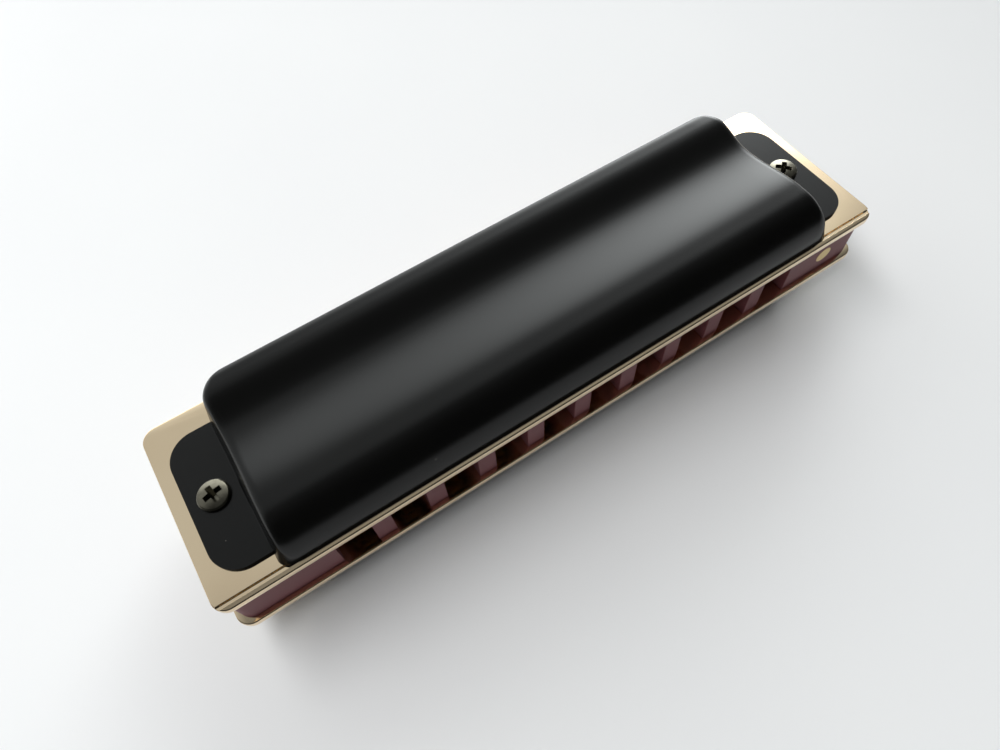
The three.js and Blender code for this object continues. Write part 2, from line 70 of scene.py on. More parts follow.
def make_camera(target, azimuth, elevation, roll, distance, lens):
    from mathutils import Quaternion, Vector
    data = bpy.data.cameras.new("camera")
    data.lens, data.sensor_width, data.sensor_fit = lens, 36, "HORIZONTAL"
    data.clip_start, data.clip_end = 0.001, 20
    camera = bpy.data.objects.new("camera", data)
    bpy.context.scene.collection.objects.link(camera)
    back = Vector(from_target(azimuth, elevation))
    camera.location = (Vector(target) + back * distance) * MM
    turn = (-back).to_track_quat("-Z", "Y") @ Quaternion((0, 0, 1), roll)
    camera.rotation_euler = turn.to_euler()
    bpy.context.scene.camera = camera
    return camera


camera = make_camera(
    target=(-8.03, -5.16, 14.8), azimuth=math.radians(-27.9), elevation=math.radians(60.55),
    roll=math.radians(-5.7), distance=91.97, lens=25.77)
print("camera at, in mm:", [round(v / MM, 1) for v in camera.location])

# %% [markdown]
# ## Colours and nodes
# Colours are written as the sRGB hex values that a paint chart uses. Blender's sockets want
# linear light, so one function converts them. One more function adds a node with its settings
# and its links, which keeps each material below down to a list of what its surface does.

# %% Colour and node helpers
def linear(hex_colour):
    """The sRGB curve undone: a straight foot up to 0.04, then a power of 2.4."""
    srgb = np.array([int(hex_colour[i:i + 2], 16) for i in (1, 3, 5)]) / 255
    light = np.where(srgb <= 0.04045, srgb / 12.92, ((srgb + 0.055) / 1.055) ** 2.4)
    return (*light.tolist(), 1.0)


def add_node(tree, kind, values=None, links=None, **settings):
    """Adds a node: settings on the node itself, values on its inputs, links into its inputs."""
    node = tree.nodes.new(kind)
    for name, value in settings.items():
        setattr(node, name, value)
    for name, value in (values or {}).items():
        node.inputs[name].default_value = value
    for name, socket in (links or {}).items():
        tree.links.new(socket, node.inputs[name])
    return node


def new_material(name):
    """A material with its shader and output joined, and Object coordinates to draw patterns on."""
    material = bpy.data.materials.new(name)
    material.use_nodes = True
    tree = material.node_tree
    tree.nodes.clear()
    shader = add_node(tree, "ShaderNodeBsdfPrincipled")
    add_node(tree, "ShaderNodeOutputMaterial", links={"Surface": shader.outputs["BSDF"]})
    place = add_node(tree, "ShaderNodeTexCoord").outputs["Object"]
    return material, tree, shader, place


def per_metre(size_mm):
    """A texture repeats this many times in a metre when one repeat has this size."""
    return 1 / (size_mm * MM)


# %% [markdown]
# ## Floor and light
# The instrument lies on a white desk in the soft light of a large window behind it. The window is
# what the black covers mirror as a broad grey band. Haze beside it is what the gold plates mirror
# as cream. The room overhead is dim, which leaves the ridges of the covers nearly black. A lamp
# alone would give one hard spot, so the sky itself is graded: bright at the back, dim overhead and
# towards the viewer. A matt desk would wash out under such a sky, so it lights matt surfaces only
# weakly, and two lamps that no mirror sees light the desk. The skylight is a long strip just
# behind the instrument, nearly overhead, so the shadow in front is short, dark at its root and
# soft at its edge. The window lamp adds a little from behind on the left.

# %% Floor
def make_floor(size=4000.0, below=0.02):
    """One flat square, a hair under the instrument so that the two never share a plane."""
    half = size / 2
    corners = np.array([[-half, -half, -below], [half, -half, -below],
                        [half, half, -below], [-half, half, -below]]) * MM
    mesh = bpy.data.meshes.new("desk")
    mesh.from_pydata(corners, [], [(0, 1, 2, 3)])
    floor = bpy.data.objects.new("desk", mesh)
    bpy.context.scene.collection.objects.link(floor)
    material, tree, shader, place = new_material("white melamine desk, satin")
    mottle = add_node(tree, "ShaderNodeTexNoise",
                      {"Scale": per_metre(60), "Detail": 2}, {"Vector": place})
    shade = add_node(tree, "ShaderNodeMix", {"A": linear("#e9eaeb"), "B": linear("#eff0f0")},
                     {"Factor": mottle.outputs["Fac"]}, data_type="RGBA")
    tree.links.new(shade.outputs["Result"], shader.inputs["Base Color"])
    shader.inputs["Roughness"].default_value = 0.6
    shader.inputs["IOR"].default_value = 1.2
    mesh.materials.append(material)


make_floor()

# %% Sky and window
def grade(tree, value, low, high):
    """A smooth 0 to 1 as value goes from low to high."""
    return add_node(tree, "ShaderNodeMapRange",
                    {"From Min": low, "From Max": high}, {"Value": value},
                    interpolation_type="SMOOTHSTEP").outputs["Result"]


def make_sky(tint="#f3f7f7", room=0.03, overhead=0.12, haze=0.66, haze_gain=1.5, window=1.87,
             window_gain=13.8, on_matt=0.15):
    """Light from each direction; x, y and z are the direction's parts to the right, to the back
    and up. The dim room turns to bright haze as y grows. The window itself is the band where
    y + 0.3 x is large. Both get brighter with the square of x, up to the window's right edge."""
    world = bpy.data.worlds.new("room")
    bpy.context.scene.world = world
    world.use_nodes = True
    tree = world.node_tree
    tree.nodes.clear()
    way = add_node(tree, "ShaderNodeTexCoord").outputs["Generated"]
    axis = add_node(tree, "ShaderNodeSeparateXYZ", links={"Vector": way}).outputs

    def times_plus(a, b, c):
        """a b + c, where each may be a socket or a number."""
        links = {i: v for i, v in enumerate((a, b, c)) if not isinstance(v, (int, float))}
        values = {i: v for i, v in enumerate((a, b, c)) if isinstance(v, (int, float))}
        total = add_node(tree, "ShaderNodeMath", values, links, operation="MULTIPLY_ADD")
        return total.outputs[0]

    right = add_node(tree, "ShaderNodeMath", {1: 0.0}, {0: axis["X"]},
                     operation="MAXIMUM").outputs[0]
    lean = times_plus(axis["X"], 0.3, axis["Y"])
    light = times_plus(grade(tree, axis["Y"], -0.45, 0.1), overhead - room, room)
    window_edge = grade(tree, axis["X"], 0.92, 0.70)
    aside = times_plus(times_plus(right, right, 0.0), window_edge, 0.0)
    veil = times_plus(aside, haze_gain, haze - overhead)
    light = times_plus(grade(tree, axis["Y"], 0.12, 0.40), veil, light)
    pane = times_plus(aside, window_gain, window)
    light = times_plus(grade(tree, lean, 0.58, 0.82), pane, light)
    matt = add_node(tree, "ShaderNodeLightPath").outputs["Is Diffuse Ray"]
    share = add_node(tree, "ShaderNodeMapRange", {"To Min": 1.0, "To Max": on_matt},
                     {"Value": matt})
    light = add_node(tree, "ShaderNodeMath", links={0: light, 1: share.outputs["Result"]},
                     operation="MULTIPLY").outputs[0]
    sky = add_node(tree, "ShaderNodeBackground", {"Color": linear(tint)}, {"Strength": light})
    add_node(tree, "ShaderNodeOutputWorld", links={"Surface": sky.outputs[0]})


def make_lamp(name, position, target, width, height, power, colour="#ffffff"):
    from mathutils import Vector
    data = bpy.data.lights.new(name, "AREA")
    data.shape, data.size, data.size_y = "RECTANGLE", width * MM, height * MM
    data.energy, data.color = power, linear(colour)[:3]
    lamp = bpy.data.objects.new(name, data)
    bpy.context.scene.collection.objects.link(lamp)
    lamp.location = Vector(position) * MM
    aim = Vector(target) - Vector(position)
    lamp.rotation_euler = aim.to_track_quat("-Z", "Y").to_euler()
    lamp.visible_glossy = False
    return lamp


make_sky()
window = make_lamp("window", (-330, 430, 340), (0, 0, 0), 700, 300, 0.9)
skylight = make_lamp("skylight", (-250, 90, 600), (0, 0, 0), 860, 220, 3.75)
bpy.context.scene.view_settings.view_transform = "Standard"
print("lamps, in watts:", {lamp.name: lamp.data.energy for lamp in (window, skylight)})

# %% [markdown]
# ## Making surfaces
# Nearly every piece of a harmonica is either turned on a lathe or cut from flat stock, and both
# are a closed outline carried along a path: rings of points, joined ring to ring, with a flat
# cap at each end. One function makes such a solid from an array of rings. Another makes the
# object from arrays, so no loop ever visits single vertices.

# %% Solids from rings
def ring_faces(rows, columns, closed_rows=False, start=0):
    """Four corners per face, ring to next ring, each ring closed on itself."""
    row = np.arange(rows if closed_rows else rows - 1)[:, None]
    column = np.arange(columns)[None, :]
    after, above = (column + 1) % columns, (row + 1) % rows
    corners = np.stack(np.broadcast_arrays(
        row * columns + column, row * columns + after,
        above * columns + after, above * columns + column), axis=-1)
    return (start + corners.reshape(-1, 4)).tolist()


def loft(rings):
    """A closed solid from rings (ring, point, xyz), counterclockwise about the way they run."""
    rings = np.asarray(rings, float)
    rows, columns = rings.shape[:2]
    faces = ring_faces(rows, columns)
    faces.append(list(range(columns))[::-1])
    faces.append(list(range((rows - 1) * columns, rows * columns)))
    return rings.reshape(-1, 3), faces


def together(*solids):
    """Several (points, faces) as one."""
    points, faces, count = [], [], 0
    for some_points, some_faces in solids:
        points.append(some_points)
        faces += [[corner + count for corner in face] for face in some_faces]
        count += len(some_points)
    return np.vstack(points), faces


def new_piece(name, solid, smooth_angle=35):
    """An object at the origin, its place in its mesh. Edges sharper than the angle stay crisp."""
    points, faces = solid
    mesh = bpy.data.meshes.new(name)
    mesh.from_pydata(points * MM, [], faces)
    mesh.shade_smooth()
    mesh.set_sharp_from_angle(angle=math.radians(smooth_angle))
    piece = bpy.data.objects.new(name, mesh)
    bpy.context.scene.collection.objects.link(piece)
    return piece


# %% Outlines
def circle(radius, sides, centre=(0, 0)):
    angle = np.linspace(0, 2 * math.pi, sides, endpoint=False)
    return np.stack([centre[0] + radius * np.cos(angle), centre[1] + radius * np.sin(angle)], 1)


def rounded_rectangle(x0, x1, y0, y1, radius, steps=8):
    """Four quarter circles, counterclockwise; the straight sides are the gaps between them."""
    turn = np.linspace(0, math.pi / 2, steps)
    quarters = []
    for number, (x, y) in enumerate([(x1 - radius, y1 - radius), (x0 + radius, y1 - radius),
                                     (x0 + radius, y0 + radius), (x1 - radius, y0 + radius)]):
        angle = turn + number * math.pi / 2
        quarters.append(np.stack([x + radius * np.cos(angle), y + radius * np.sin(angle)], 1))
    return np.vstack(quarters)


def rectangle(x0, x1, y0, y1):
    return np.array([[x0, y0], [x1, y0], [x1, y1], [x0, y1]], float)


def cross(half_length, half_width):
    """A plus sign of twelve corners."""
    a, b = half_length, half_width
    return np.array([[a, -b], [a, b], [b, b], [b, a], [-b, a], [-b, b],
                     [-a, b], [-a, -b], [-b, -b], [-b, -a], [b, -a], [b, -b]], float)


def turn_by(angle):
    """The matrix that turns rows of (x, y) by the angle when it stands on their right."""
    return np.array([[math.cos(angle), math.sin(angle)], [-math.sin(angle), math.cos(angle)]])


def at_height(outline, z):
    return np.column_stack([outline, np.full(len(outline), float(z))])


def prism(outline, z0, z1):
    return loft([at_height(outline, z0), at_height(outline, z1)])


def turned(profile, sides=32, centre=(0, 0)):
    """A lathe piece: each (radius, height) of the profile becomes a circle about the axis."""
    return loft([at_height(circle(radius, sides, centre), z) for radius, z in profile])


# %% Cutting and finishing
def cut(piece, cutter_solid, operation="DIFFERENCE"):
    """Cuts one solid out of a piece, or joins it on, and keeps only the result."""
    cutter = new_piece("cutter", cutter_solid)
    change = piece.modifiers.new("cut", "BOOLEAN")
    change.object, change.operation, change.solver = cutter, operation, "EXACT"
    graph = bpy.context.evaluated_depsgraph_get()
    result = bpy.data.meshes.new_from_object(piece.evaluated_get(graph))
    piece.modifiers.clear()
    piece.data = result
    result.name = piece.name
    bpy.data.objects.remove(cutter)
    result.shade_smooth()
    result.set_sharp_from_angle(angle=math.radians(35))


def soften(piece, width, segments=2, angle=40):
    """Breaks every edge sharper than the angle, as tumbling, plating or paint does."""
    bevel = piece.modifiers.new("soft edges", "BEVEL")
    bevel.width, bevel.segments = width * MM, segments
    bevel.limit_method, bevel.angle_limit = "ANGLE", math.radians(angle)
    bevel.harden_normals = True
    bevel.use_clamp_overlap = True


def settle(piece, material, node, body="root"):
    """Gives a piece its material, and puts it in the place of its CAD node."""
    piece.data.materials.clear()
    piece.data.materials.append(material)
    if body:
        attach(piece, body)
    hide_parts(node)


# %% [markdown]
# ## Satin black covers: the paint
# The covers are steel, sprayed and stoved with a satin black enamel. Stoved enamel flows into a
# skin with very fine "orange peel", a few tenths of a millimetre across, which breaks up every
# reflection a little. A few specks of dust lie on it. It could be a plain rough black, but then
# the broad band of window light would look like plastic film, so the roughness itself wanders.

# %% Satin black enamel
def satin_black_enamel():
    material, tree, shader, place = new_material("steel, satin black stoved enamel")
    peel = add_node(tree, "ShaderNodeTexNoise",
                    {"Scale": per_metre(0.45), "Detail": 3, "Roughness": 0.6}, {"Vector": place})
    drift = add_node(tree, "ShaderNodeTexNoise",
                     {"Scale": per_metre(14), "Detail": 3}, {"Vector": place})
    gloss = add_node(tree, "ShaderNodeMapRange", {"To Min": 0.22, "To Max": 0.29},
                     {"Value": drift.outputs["Fac"]})
    dust = add_node(tree, "ShaderNodeTexVoronoi", {"Scale": per_metre(4.5)}, {"Vector": place})
    speck = add_node(tree, "ShaderNodeMath", {1: 0.018}, {0: dust.outputs["Distance"]},
                     operation="LESS_THAN")
    skin = add_node(tree, "ShaderNodeMix", {"A": linear("#060606"), "B": linear("#0a0a09")},
                    {"Factor": drift.outputs["Fac"]}, data_type="RGBA")
    colour = add_node(tree, "ShaderNodeMix", {"B": linear("#5a5853")},
                      {"Factor": speck.outputs[0], "A": skin.outputs["Result"]},
                      data_type="RGBA")
    bump = add_node(tree, "ShaderNodeBump", {"Strength": 0.16, "Distance": 0.02 * MM},
                    {"Height": peel.outputs["Fac"]})
    tree.links.new(colour.outputs["Result"], shader.inputs["Base Color"])
    tree.links.new(gloss.outputs["Result"], shader.inputs["Roughness"])
    tree.links.new(bump.outputs["Normal"], shader.inputs["Normal"])
    shader.inputs["IOR"].default_value = 1.34
    return material


enamel = satin_black_enamel()

# %% [markdown]
# ## The covers: one pressed sheet
# A press bends half a millimetre of steel into a cover. Across the instrument it rises from a
# lip in the plate's groove to a rounded front ridge, dips into a shallow finger valley, climbs
# to the back ridge and rolls over at the back edge. Each end slopes down at 78 degrees and turns
# out into a flat tab for the screw. A subdivided box could be pushed into this, but the two
# curves that matter, across and along, are simple, so the sheet is worked out as their product.

# %% The curve across the cover
PLATE_LENGTH, PLATE_WIDTH, PLATE_THICKNESS, PLATE_CORNER = 101.0, 26.6, 1.1, 2.0
FRONT, BACK = -PLATE_WIDTH / 2, PLATE_WIDTH / 2
COVER_HEIGHT, SHEET, LIP_Y, EDGE_Y = 5.8, 0.5, -12.6, 12.4
RIDGE_FROM, RIDGE_TO, VALLEY_Y, VALLEY_Z = -7.3, -6.0, 4.168, 4.4
BACK_RIDGE_Y, CURL_Y, CURL_DROP = 10.4, 11.4, 0.6
LIP_IN_GROOVE, LIP_HEIGHT = -0.3, 0.58


def bezier(points, steps):
    """A cubic curve: four points weighted by the terms of ((1 - t) + t) cubed."""
    a, b, c, d = np.array(points, float)
    t = np.linspace(0, 1, steps)[:, None]
    return (1 - t) ** 3 * a + 3 * (1 - t) ** 2 * t * b + 3 * (1 - t) * t ** 2 * c + t ** 3 * d


def mix(a, b, t):
    return a + (b - a) * t


def cover_curve():
    """(y, height) from the lip to the back edge: wall, ridge, valley, ridge and rolled edge."""
    top, valley = COVER_HEIGHT, VALLEY_Z
    lip = np.linspace([LIP_Y, LIP_IN_GROOVE], [LIP_Y, LIP_HEIGHT], 5)
    wall = bezier([[LIP_Y, LIP_HEIGHT], [-12.28, 3.6], [-10.37, top], [RIDGE_FROM, top]], 26)
    ridge = np.linspace([RIDGE_FROM, top], [RIDGE_TO, top], 4)
    down = bezier([[RIDGE_TO, top], [mix(RIDGE_TO, VALLEY_Y, 0.3), top],
                   [mix(RIDGE_TO, VALLEY_Y, 0.65), valley], [VALLEY_Y, valley]], 26)
    up = bezier([[VALLEY_Y, valley], [mix(VALLEY_Y, BACK_RIDGE_Y, 0.4), valley],
                 [mix(VALLEY_Y, BACK_RIDGE_Y, 0.65), top], [BACK_RIDGE_Y, top]], 20)
    back = np.linspace([BACK_RIDGE_Y, top], [CURL_Y, top], 4)
    t = np.linspace(0, 1, 10)[:, None]
    curl = ((1 - t) ** 2 * [CURL_Y, top] + 2 * t * (1 - t) * [EDGE_Y, top]
            + t ** 2 * [EDGE_Y, top - CURL_DROP])
    return np.vstack([lip[:-1], wall[:-1], ridge[:-1], down[:-1], up[:-1], back[:-1], curl])


across = cover_curve()
print("the curve across a cover has", len(across), "points")

# %% The curve along the cover
END_ANGLE, FOLD_RADIUS, COVER_HALF = math.radians(78), 1.5, 42.1
FRONT_CORNER, BACK_CORNER = 1.5, 3.3


def end_curve(height, radius):
    """(run in from the foot, share of the height): a straight slope, then a round fold."""
    top = radius * math.sin(END_ANGLE) + (
        height - radius + radius * math.cos(END_ANGLE)) / math.tan(END_ANGLE)
    angle = END_ANGLE * (1 - np.linspace(0, 1, 12))
    fold = np.stack([top - radius * np.sin(angle),
                     (height - radius + radius * np.cos(angle)) / height], 1)
    slope = np.linspace([0, 0], fold[0], 8, endpoint=False)
    return np.vstack([slope, fold])


def half_length(y):
    """Half the length at the foot, drawn in by a quarter circle at the front and back corners."""
    front = np.clip(LIP_Y + FRONT_CORNER - y, 0, FRONT_CORNER)
    back = np.clip(y - EDGE_Y + BACK_CORNER, 0, BACK_CORNER)
    return (COVER_HALF - FRONT_CORNER + np.sqrt(FRONT_CORNER ** 2 - front ** 2)
            - BACK_CORNER + np.sqrt(BACK_CORNER ** 2 - back ** 2))


def cover_face(curve, along, inset, middle_columns=24):
    """Height = curve across x share along; each row's ends follow the corners seen from above."""
    half = (half_length(across[:, 0]) - inset)[:, None]
    run, share = along[:, 0][None, :], along[:, 1][None, :]
    left, right = -half + run, (half - run)[:, ::-1]
    t = np.linspace(0, 1, middle_columns + 2)[None, 1:-1]
    middle = left[:, -1:] * (1 - t) + right[:, :1] * t
    x = np.hstack([left, middle, right])
    share = np.hstack([share, np.ones((1, middle_columns)), share[:, ::-1]])
    height = curve[:, 1][:, None]
    z = np.where(height > 0, height * share, height * np.ceil(share))
    return np.stack([x, np.broadcast_to(curve[:, 0][:, None], x.shape), z], axis=-1)


def inward(curve, thickness):
    """The curve moved in along its own normal, which is its direction turned a quarter."""
    way = np.gradient(curve, axis=0)
    way /= np.linalg.norm(way, axis=1, keepdims=True)
    moved = curve + thickness * np.stack([way[:, 1], -way[:, 0]], 1)
    moved[0, 1] = curve[0, 1]
    return moved


# %% The dome as a closed sheet
def shell(outer, inner):
    """Two faces of a sheet and the four narrow rims that join them."""
    rows, columns = outer.shape[:2]
    o, i = np.arange(2 * rows * columns).reshape(2, rows, columns)

    def strip(a, b):
        return np.stack([a[:-1], b[:-1], b[1:], a[1:]], -1)

    face = np.stack([o[:-1, :-1], o[:-1, 1:], o[1:, 1:], o[1:, :-1]], -1).reshape(-1, 4)
    lining = np.stack([i[:-1, :-1], i[1:, :-1], i[1:, 1:], i[:-1, 1:]], -1).reshape(-1, 4)
    rims = [strip(o[0], i[0]), strip(i[-1], o[-1]),
            strip(i[:, 0], o[:, 0]), strip(o[:, -1], i[:, -1])]
    points = np.vstack([outer.reshape(-1, 3), inner.reshape(-1, 3)])
    return points, np.vstack([face, lining, *rims]).tolist()


def cover_dome():
    outer = cover_face(across, end_curve(COVER_HEIGHT, FOLD_RADIUS), 0)
    lining = end_curve(COVER_HEIGHT - SHEET, FOLD_RADIUS - SHEET)
    return shell(outer, cover_face(inward(across, SHEET), lining, SHEET / math.sin(END_ANGLE)))


# %% The tabs
TAB_END, TAB_FRONT, TAB_BACK, TAB_CORNER = 48.5, -10.1, 9.6, 3.8
FILLET, FILLET_LEAST, FILLET_FADE = 0.35, 0.12, 1.5


def tab_rows():
    """Depths of the tab's sections, closest together where its corners turn."""
    turn = TAB_CORNER * (1 - np.cos(np.linspace(0, math.pi / 2, 12)))
    middle = np.linspace(TAB_FRONT + TAB_CORNER, TAB_BACK - TAB_CORNER, 14)[1:-1]
    return np.concatenate([TAB_FRONT + turn, middle, TAB_BACK - turn[::-1]])


def cover_tab(side):
    """Sections across the tab: a flat top from its round end to a hollow fillet that climbs the
    end wall. The fillet's radius shrinks almost to nothing at the tab's two edges."""
    y = tab_rows()
    past = np.clip(np.maximum(TAB_FRONT + TAB_CORNER - y, y - TAB_BACK + TAB_CORNER), 0, TAB_CORNER)
    end = TAB_END - TAB_CORNER + np.sqrt(TAB_CORNER ** 2 - past ** 2)
    height = np.interp(y, across[:, 0], across[:, 1])
    slope = np.arctan(math.tan(END_ANGLE) * height / COVER_HEIGHT)
    fade = np.clip(np.minimum(y - TAB_FRONT, TAB_BACK - y) / FILLET_FADE, 0, 1)
    radius = FILLET * mix(FILLET_LEAST, 1, fade * fade * (3 - 2 * fade))
    half = half_length(y)
    start = half - (SHEET + radius * (1 - np.cos(slope))) / np.tan(slope) + radius * np.sin(slope)
    t = np.linspace(0, 1, 6)[:, None]
    top_x = mix(end, start, t)
    angle = slope * 0.93 * np.linspace(0, 1, 9)[1:, None]
    fillet_x, fillet_z = start - radius * np.sin(angle), SHEET + radius * (1 - np.cos(angle))
    x = np.vstack([end[None], top_x, fillet_x, fillet_x[-1:] - 0.2, half[None] - 0.3])
    z = np.vstack([np.zeros_like(end)[None], np.full_like(top_x, SHEET), fillet_z,
                   fillet_z[-1:], np.zeros_like(end)[None]])
    rings = np.stack([side * x.T, np.broadcast_to(y[:, None], x.T.shape), z.T], axis=-1)
    return loft(rings[:, ::-1] if side > 0 else rings)


# %% Both covers
SCREW_X, SCREW_HOLE = 45.2, 1.15


def place_cover(piece, z, turned_over):
    """Both covers are one pressing. The lower one is turned half round about the Y axis, so its
    tabs change ends and its ridges point down."""
    points = np.empty(len(piece.data.vertices) * 3, np.float32)
    piece.data.vertices.foreach_get("co", points)
    points = points.reshape(-1, 3)
    if turned_over:
        points *= (-1, 1, -1)
    points[:, 2] += z * MM
    piece.data.vertices.foreach_set("co", points.ravel())
    piece.data.update()


def make_cover(name, z, turned_over):
    piece = new_piece(name, cover_dome())
    for side in (1, -1):
        cut(piece, cover_tab(side), "UNION")
    holes = [prism(circle(SCREW_HOLE, 24, (side * SCREW_X, 0)), -0.5, 1.0) for side in (1, -1)]
    cut(piece, together(*holes))
    place_cover(piece, z, turned_over)
    soften(piece, 0.09)
    return piece


DRAW_FACE, BLOW_FACE = 14.8, 5.8
draw_cover = make_cover("upper-cover", DRAW_FACE, False)
blow_cover = make_cover("lower-cover", BLOW_FACE, True)
settle(draw_cover, enamel, "draw_cover")
settle(blow_cover, enamel, "blow_cover")
print("a cover has", len(draw_cover.data.polygons), "faces")

# %% [markdown]
# ## Gold-plated reed plates: the finish
# The plates are rolled brass, buffed on a wheel and plated with pale gold. A buffed surface is a
# mirror that is never quite flat: it waves by a few thousandths of a millimetre over a
# centimetre, so reflections swim a little, and the wheel leaves hair lines along the plate. Its
# colour comes from the metal's own reflection, so it is set in the base colour, fully metallic.

# %% Polished pale gold
def polished_gold():
    material, tree, shader, place = new_material("brass, buffed and pale gold plated")
    swim = add_node(tree, "ShaderNodeTexNoise",
                    {"Scale": per_metre(9), "Detail": 2}, {"Vector": place})
    along = add_node(tree, "ShaderNodeMapping", {"Scale": (0.04, 1, 1)}, {"Vector": place})
    lines = add_node(tree, "ShaderNodeTexNoise",
                     {"Scale": per_metre(0.15), "Detail": 3, "Roughness": 0.7},
                     {"Vector": along.outputs["Vector"]})
    breath = add_node(tree, "ShaderNodeTexNoise",
                      {"Scale": per_metre(5), "Detail": 4, "Roughness": 0.6}, {"Vector": place})
    haze = add_node(tree, "ShaderNodeMapRange", {"To Min": 0.05, "To Max": 0.16},
                    {"Value": breath.outputs["Fac"]})
    tone = add_node(tree, "ShaderNodeMix", {"A": linear("#e8d0ae"), "B": linear("#eedaba")},
                    {"Factor": swim.outputs["Fac"]}, data_type="RGBA")
    wave = add_node(tree, "ShaderNodeBump", {"Strength": 0.5, "Distance": 0.004 * MM},
                    {"Height": swim.outputs["Fac"]})
    hair = add_node(tree, "ShaderNodeBump", {"Strength": 0.08, "Distance": 0.004 * MM},
                    {"Height": lines.outputs["Fac"], "Normal": wave.outputs["Normal"]})
    tree.links.new(tone.outputs["Result"], shader.inputs["Base Color"])
    tree.links.new(haze.outputs["Result"], shader.inputs["Roughness"])
    tree.links.new(hair.outputs["Normal"], shader.inputs["Normal"])
    shader.inputs["Metallic"].default_value = 1.0
    return material


gold = polished_gold()

# %% [markdown]
# ## Where the reeds lie
# Hole 1 is at the right-hand end, and has the longest reeds. From there each hole's slots get
# steadily shorter and narrower. The same small table of places serves the plates, the comb, the
# reeds and the rivets, so a slot can't miss its reed.

# %% Places of slots and screws
HOLES, PITCH, HOLE_WIDTH, CLEARANCE, PAD = 10, 7.5, 4.9, 0.1, 3.2
hole = np.arange(1, HOLES + 1)
rank = (hole - 1) / (HOLES - 1)
hole_x = (5.5 - hole) * PITCH
slot_width = mix(2.4, 2.0, rank)
blow_root = np.full(HOLES, FRONT + 6.9)
blow_tip = BACK - mix(4.2, 11.2, rank)
draw_tip = np.full(HOLES, FRONT + 4.0)
draw_root = draw_tip + blow_tip - blow_root
chamber_back = np.maximum(draw_root, blow_tip) + 1
plate_screws = [((5 - n) * PITCH, FRONT + 2.9) for n in (2, 5, 8)]
plate_screws += [((5 - n) * PITCH, BACK - 3.6) for n in (1, 4, 6, 9)]
plate_screws += [(38.8, 0), (-38.8, 0)]
print("slot lengths, in mm:", (blow_tip - blow_root).round(1))

# %% [markdown]
# ## The reed plates: punched sheet
# Each plate is blanked from sheet with rounded corners, its slots are punched, and a groove is
# milled along the mouth side for the lip of the cover. The faces could be drawn with their holes
# in place, but a real plate is cut from a plain one, and so is this: a prism of the outline,
# minus one cutter that holds every slot, hole and groove. Blanking rolls the outer edge over by
# a fifth of a millimetre, and that roll is what draws a thin dark line along the bright front.

# %% Plates
GROOVE_FROM, GROOVE_TO, GROOVE_DEPTH = FRONT + 0.65, FRONT + 1.25, 0.35
RIVET_HOLE, PLATE_SCREW_HOLE, COUNTERSINK, OVERCUT = 0.57, 0.73, 0.6, 0.5


def plate_cutter(base, groove_z, slot_from, slot_to, rivet_y, countersunk):
    low, high = base - OVERCUT, base + PLATE_THICKNESS + OVERCUT
    parts = [prism(rectangle(x - w / 2, x + w / 2, a, b), low, high)
             for x, w, a, b in zip(hole_x, slot_width, slot_from, slot_to)]
    parts += [prism(circle(RIVET_HOLE, 12, (x, y)), low, high) for x, y in zip(hole_x, rivet_y)]
    parts += [prism(circle(SCREW_HOLE, 24, (side * SCREW_X, 0)), low, high) for side in (1, -1)]
    bore, top = PLATE_SCREW_HOLE, base + PLATE_THICKNESS
    for place in plate_screws:
        if countersunk:
            parts.append(turned([(bore, low), (bore, top - COUNTERSINK), (bore + COUNTERSINK, top),
                                 (bore + COUNTERSINK + OVERCUT, high)], 24, place))
        else:
            parts.append(prism(circle(bore, 24, place), low, high))
    groove = rectangle(-PLATE_LENGTH, PLATE_LENGTH, GROOVE_FROM, GROOVE_TO)
    parts.append(prism(groove, groove_z - GROOVE_DEPTH, groove_z + GROOVE_DEPTH))
    return together(*parts)


def rolled_slab(base, roll=0.18, steps=6):
    """The blank: its outline shrinks along a quarter circle towards both faces."""
    half = PLATE_LENGTH / 2
    angle = np.linspace(0, math.pi / 2, steps)
    inset, climb = roll * (1 - np.sin(angle)), roll * (1 - np.cos(angle))
    inset = np.concatenate([inset, inset[::-1]])
    height = np.concatenate([climb, PLATE_THICKNESS - climb[::-1]])
    return loft([at_height(rounded_rectangle(-half + i, half - i, FRONT + i, BACK - i,
                                             PLATE_CORNER - i, 12), base + z)
                 for i, z in zip(inset, height)])


def make_plate(name, base, **openings):
    piece = new_piece(name, rolled_slab(base))
    cut(piece, plate_cutter(base, **openings))
    soften(piece, 0.05)
    return piece


COMB_BASE, DRAW_BASE = 6.9, 13.7
COMB_HALF_LENGTH, COMB_HALF_WIDTH, COMB_CORNER = 49.7, 12.6, 1.6
draw_plate = make_plate("upper-reed-plate", DRAW_BASE, groove_z=DRAW_FACE, slot_from=draw_tip,
                        slot_to=draw_root, rivet_y=draw_root + PAD / 2, countersunk=True)
blow_plate = make_plate("lower-reed-plate", BLOW_FACE, groove_z=BLOW_FACE, slot_from=blow_root,
                        slot_to=blow_tip, rivet_y=blow_root - PAD / 2, countersunk=False)
settle(draw_plate, gold, "draw_reed_plate")
settle(blow_plate, gold, "blow_reed_plate")
print("a plate has", len(draw_plate.data.polygons), "faces before its edges are broken")

# %% [markdown]
# ## The comb
# The comb is moulded in wine-red ABS, with a satin skin copied from a spark-eroded tool: a fine,
# even grain of less than two tenths of a millimetre. It is a slab with ten chambers open at the
# mouth. It could glow a little from inside, but the plastic is dense, so a broad, soft gloss is
# enough. The chambers are cut from the slab by one cutter, as the slots of the plates are.

